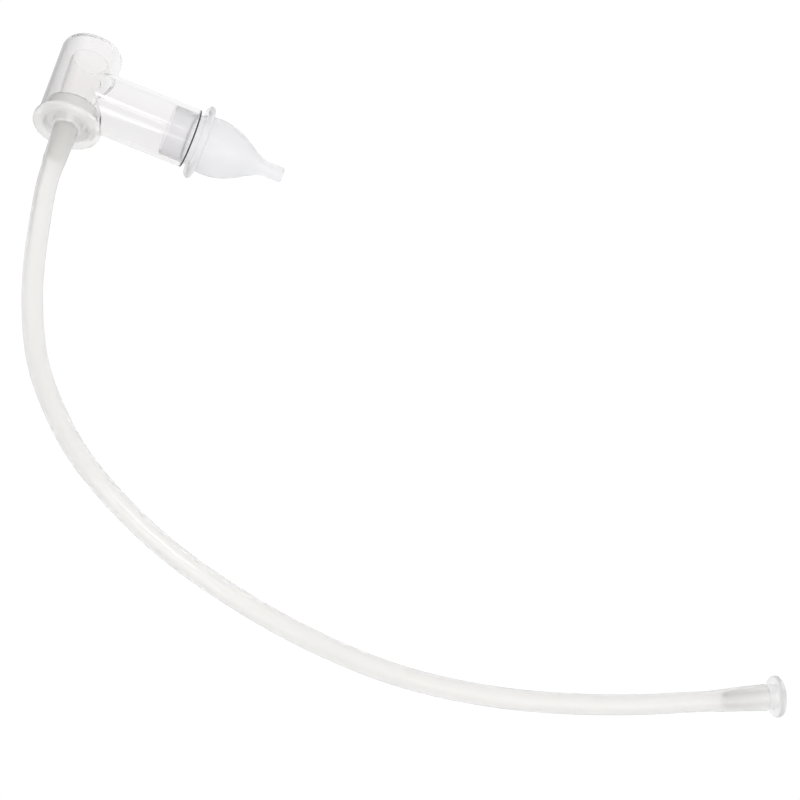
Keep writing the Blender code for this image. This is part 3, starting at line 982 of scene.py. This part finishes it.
@dataclass
class Hose:
    """The hose, from the stopper's spigot to the mouthpiece's, stretched wider over both."""

    bore: float = 2.25
    wall: float = 1.0
    gap: float = 0.3
    ease: float = 5.0
    seat: float = 0.04
    rest_lift: float = 0.05
    spacing: float = 1.1
    near_points: int = 5
    far_points: int = 6
    edge: float = 0.18
    sides: int = 80
    # (x, y) from the crossing, and how far its middle is above where it lies on the surface.
    route: tuple[tuple[float, float, float], ...] = (
        (0.3, -36.0, 8.4),
        (1.5, -45.0, 7.2),
        (3.5, -56.0, 5.2),
        (6.6, -69.0, 2.7),
        (11.0, -82.0, 0.8),
        (17.0, -95.0, 0.1),
        (25.5, -107.0, 0.0),
        (36.0, -118.0, 0.0),
        (48.5, -127.0, 0.0),
        (62.0, -134.5, 0.0),
        (76.5, -140.5, 0.0),
        (91.5, -145.0, 0.0),
        (107.0, -148.5, 0.0),
        (122.5, -150.8, 0.0),
        (138.0, -151.9, 0.0),
        (153.5, -151.6, 0.0),
        (169.0, -149.8, 0.0),
        (184.0, -147.0, 0.0),
        (199.0, -143.2, 0.0),
        (214.0, -138.6, 0.0),
        (229.0, -133.3, 0.0),
        (242.5, -128.0, 0.2),
    )

    def line(self, layout: Layout, stopper: Stopper, mouthpiece: Mouthpiece) -> np.ndarray:
        """The hose's middle line, in metres in the frame.

        Args:
            layout: where the axes cross.
            stopper: what its near end is pushed on.
            mouthpiece: what its far end is pushed on.

        Returns:
            The points, one a row.
        """
        height = layout.cross.z / MM
        near_end = np.array([0.0, stopper.face - self.gap, height])
        near_tip = near_end - np.array([0.0, stopper.spigot.length, 0.0])
        neck = mouthpiece.centre() - mouthpiece.axis() * mouthpiece.neck_length
        far_end = neck - mouthpiece.axis() * self.gap
        far_tip = neck - mouthpiece.axis() * (mouthpiece.spigot.length + self.gap)
        lying = self.bore + self.wall + self.rest_lift
        route = [(x, y, lying + lift) for x, y, lift in self.route]
        ends = [(near_end + near_tip) / 2, near_tip], [far_tip, (far_end + far_tip) / 2]
        middle = smooth_line([*ends[0], *route, *ends[1]], self.spacing)
        before = np.linspace(near_end, middle[0], self.near_points)[:-1]
        after = np.linspace(middle[-1], far_end, self.far_points)[1:]
        points = np.array([*before, *middle, *after]) * MM
        return points + np.array([layout.cross.x, layout.cross.y, 0.0])

    def radii(self, from_near: float, from_far: float, near: Spigot, far: Spigot) -> Point:
        """The hose's inner and outer radius at a place.

        Args:
            from_near: distance from its near end, in millimetres.
            from_far: distance from its far end.
            near: the spigot in its near end.
            far: the spigot in its far end.

        Returns:
            The two radii, in millimetres.
        """
        inner = self.bore
        for distance, spigot in ((from_near, near), (from_far, far)):
            past = min(max((distance - spigot.length) / self.ease, 0.0), 1.0)
            over = spigot.radius_at(distance) + self.seat
            inner = max(inner, over + (self.bore - over) * past * past * (3 - 2 * past))
        return inner, inner + self.wall

    def build(
        self, layout: Layout, stopper: Stopper, mouthpiece: Mouthpiece, cup: bpy.types.Object
    ) -> bpy.types.Object:
        """Args:
            layout: where the axes cross.
            stopper: what its near end is pushed on.
            mouthpiece: what its far end is pushed on.
            cup: the mouthpiece's object; not used.

        Returns:
            The hose.
        """
        line = self.line(layout, stopper, mouthpiece)
        steps = np.linalg.norm(np.diff(line, axis=0), axis=1)
        along = np.concatenate([[0.0], np.cumsum(steps)]) / MM
        total = along[-1]
        sizes = [self.radii(s, total - s, stopper.spigot, mouthpiece.spigot) for s in along]
        frames = self._frames(line)
        shape = bmesh.new()
        grain: list[tuple[float, float, float]] = []

        def ring(index: int, radius: float, shift: float = 0.0) -> list[bmesh.types.BMVert]:
            """One ring of corners round the line, moved along it by a shift in millimetres."""
            across, up, way = frames[index]
            corners = []
            for k in range(self.sides):
                angle = math.tau * k / self.sides
                out = across * math.cos(angle) + up * math.sin(angle)
                corners.append(shape.verts.new(line[index] + out * radius * MM + way * shift * MM))
                grain.append((radius * math.cos(angle), radius * math.sin(angle), along[index] + shift))
            return corners

        last = len(line) - 1
        edge = self.edge
        rings = [ring(0, sizes[0][1] - edge)]
        rings.append(ring(0, sizes[0][1], edge))
        rings += [ring(i, sizes[i][1]) for i in range(1, last)]
        rings.append(ring(last, sizes[last][1], -edge))
        rings.append(ring(last, sizes[last][1] - edge))
        rings.append(ring(last, sizes[last][0] + edge * 0.5))
        rings.append(ring(last, sizes[last][0], -edge * 0.5))
        rings += [ring(i, sizes[i][0]) for i in range(last - 1, 0, -1)]
        rings.append(ring(0, sizes[0][0], edge * 0.5))
        rings.append(ring(0, sizes[0][0] + edge * 0.5))
        for first, second in zip(rings, rings[1:] + rings[:1]):
            for k in range(self.sides):
                j = (k + 1) % self.sides
                shape.faces.new((first[k], first[j], second[j], second[k]))
        made = finish_mesh("hose_tubing", shape)
        put(made, Vector(), (0.0, 0.0, 0.0))
        lay_grain(made, np.array(grain))
        dress(made, HOSE_RUBBER, "hose", "hose")
        return made

    @staticmethod
    def _frames(line: np.ndarray) -> list[tuple[np.ndarray, np.ndarray, np.ndarray]]:
        """Directions across, up and along at each point, carried along the line without twist."""
        ways = np.gradient(line, axis=0)
        ways /= np.linalg.norm(ways, axis=1)[:, None]
        across = np.cross(ways[0], (0.0, 0.0, 1.0))
        frames = []
        for way in ways:
            across = across - way * (across @ way)
            across /= np.linalg.norm(across)
            frames.append((across, np.cross(way, across), way))
        return frames


# ---------------------------------------------------------------------------------------------- the studio


@dataclass
class Studio:
    """A pale surface, soft light and the camera."""

    floor_size: float = 6.0
    floor_drop: float = 0.0002
    floor_colour: Colour = (0.2, 0.2, 0.2)
    floor_glow: float = 0.745
    # Painted shade on the surface: (place, glow share) stops where the glow drops towards -X.
    shade_band: tuple[Point, Point] = ((0.444, 0.45), (0.456, 1.0))
    floor_white: float = 1.02
    sky: float = 0.94
    bounces: int = 40
    lens: float = 90.0
    distance: float = 0.6496
    azimuth: float = -112.87
    elevation: float = 55.06
    roll: float = 39.96
    aim_shift: tuple[float, float] = (-0.00236, 0.01106)
    sensor: float = 36.0
    near_clip: float = 0.01
    shade_band_offset: float = 0.49
    height_ramp: tuple[Point, ...] = ((0.0, 0.75), (0.12, 0.9), (0.28, 1.0))
    side_ramp: tuple[Point, ...] = ((0.1, 0.8), (0.5, 1.0))
    lamp_aim: tuple[float, float, float] = (0.1, -0.05, 0.0)
    # Each lamp's name, place and width in metres, and power in watts.
    lamps: tuple[Lamp, ...] = (
        ("key", (-0.1, -0.25, 1.2), 0.3, 1.3),
        ("side", (0.9, -0.6, 0.8), 1.0, 3.0),
        ("front", (-0.35, -1.0, 0.5), 0.9, 3.0),
    )

    def build(self) -> None:
        """Make the surface, the light and the camera."""
        self._floor()
        self._world()
        self._lamps()
        self._camera()
        scene = bpy.context.scene
        scene.view_settings.view_transform = "Standard"
        for kind in ("max", "transmission", "glossy", "diffuse"):
            setattr(scene.cycles, f"{kind}_bounces", self.bounces)

    def _floor(self) -> None:
        """The surface: white to the camera, softly glowing to other rays, and darker for them towards -X as
        a painted shade band.
        """
        shape = bmesh.new()
        bmesh.ops.create_grid(shape, x_segments=1, y_segments=1, size=self.floor_size / 2)
        mesh = bpy.data.meshes.new("surface")
        shape.to_mesh(mesh)
        shape.free()
        place = Vector((0.0, 0.0, -self.floor_drop))
        floor = put(bpy.data.objects.new("surface", mesh), place, (0.0, 0.0, 0.0))
        made = bpy.data.materials.new("pale_surface")
        made.use_nodes = True
        tree = NodeTree(made.node_tree)
        bare = tree.add("ShaderNodeBsdfDiffuse", {}, {0: (*self.floor_colour, 1.0)})
        place = tree.add("ShaderNodeTexCoord")
        parts = tree.add("ShaderNodeSeparateXYZ", {}, {0: Wire(tree, place.outputs["Object"])})
        # Painted shade: beyond a line towards -X the glow falls to under half, standing in for shade beside
        # the object.
        shade_band_glow = tree.ramp(Wire(tree, parts.outputs[0]) + self.shade_band_offset, self.shade_band)
        glow = tree.add("ShaderNodeEmission", {}, {0: (1.0, 1.0, 1.0, 1.0), 1: shade_band_glow * self.floor_glow})
        layers = {0: Wire(tree, bare.outputs[0]), 1: Wire(tree, glow.outputs[0])}
        lit = tree.add("ShaderNodeAddShader", {}, layers)
        clean = tree.add("ShaderNodeEmission", {}, {0: (1.0, 1.0, 1.0, 1.0), 1: self.floor_white})
        seen = tree.add("ShaderNodeLightPath")
        shader = tree.add(
            "ShaderNodeMixShader",
            {},
            {
                0: Wire(tree, seen.outputs["Is Camera Ray"]),
                1: Wire(tree, lit.outputs[0]),
                2: Wire(tree, clean.outputs[0]),
            },
        )
        tree.add("ShaderNodeOutputMaterial", {}, {0: Wire(tree, shader.outputs[0])})
        mesh.materials.append(made)

    def _world(self) -> None:
        """White above, greyer near the horizon and towards -X, so that clear edges draw dark."""
        world = bpy.data.worlds.new("studio")
        bpy.context.scene.world = world
        world.use_nodes = True
        tree = NodeTree(world.node_tree)
        place = tree.add("ShaderNodeTexCoord")
        parts = tree.add("ShaderNodeSeparateXYZ", {}, {0: Wire(tree, place.outputs["Generated"])})
        up = Wire(tree, parts.outputs[2])
        left = Wire(tree, parts.outputs[0])
        height = tree.ramp(up, self.height_ramp)
        side = tree.ramp(left * 0.5 + 0.5, self.side_ramp)
        light = height * side * self.sky
        back = tree.add("ShaderNodeBackground", {}, {"Color": (1.0, 1.0, 1.0, 1.0), "Strength": light})
        tree.add("ShaderNodeOutputWorld", {}, {0: Wire(tree, back.outputs[0])})

    def _lamps(self) -> None:
        """Three soft lights: the key nearly overhead, one at the right and one low at the near side."""
        for name, place, size, power in self.lamps:
            lamp = bpy.data.lights.new(name, "AREA")
            lamp.size = size
            lamp.energy = power
            made = put(bpy.data.objects.new(name, lamp), Vector(place), (0.0, 0.0, 0.0))
            way = Vector(self.lamp_aim) - Vector(place)
            made.rotation_euler = way.to_track_quat("-Z", "Y").to_euler()

    def _camera(self) -> None:
        """The camera, aimed at a point on the surface and rolled about its line of sight."""
        low, high = (Vector(corner) for corner in CAD_BOX)
        middle = (low + high) / 2
        aim = Vector((middle.x + self.aim_shift[0], middle.y + self.aim_shift[1], 0.0))
        azimuth, elevation, roll = (math.radians(a) for a in (self.azimuth, self.elevation, self.roll))
        level = math.cos(elevation)
        back = Vector((level * math.cos(azimuth), level * math.sin(azimuth), math.sin(elevation)))
        right = (-back).cross(Vector((0.0, 0.0, 1.0))).normalized()
        up = right.cross(-back)
        rolled_right = right * math.cos(roll) + up * math.sin(roll)
        rolled_up = up * math.cos(roll) - right * math.sin(roll)
        camera = bpy.data.cameras.new("camera")
        camera.lens = self.lens
        camera.sensor_width = self.sensor
        camera.clip_start = self.near_clip
        made = bpy.data.objects.new("camera", camera)
        bpy.context.scene.collection.objects.link(made)
        turn = Matrix((rolled_right, rolled_up, back)).transposed().to_4x4()
        made.matrix_world = Matrix.Translation(aim + back * self.distance) @ turn
        bpy.context.scene.camera = made


def main() -> None:
    """Build every piece in order and report each one."""
    logging.basicConfig(level=logging.INFO, format="%(name)s %(message)s")
    layout = Layout.from_frame()
    stopper = Stopper()
    mouthpiece = Mouthpiece()
    Studio().build()
    cup = mouthpiece.build(layout)
    Hose().build(layout, stopper, mouthpiece, cup)
    Chamber().build(layout)
    Nozzle().build(layout)
    stopper.build(layout)
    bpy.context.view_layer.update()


if __name__ == "__main__":
    main()
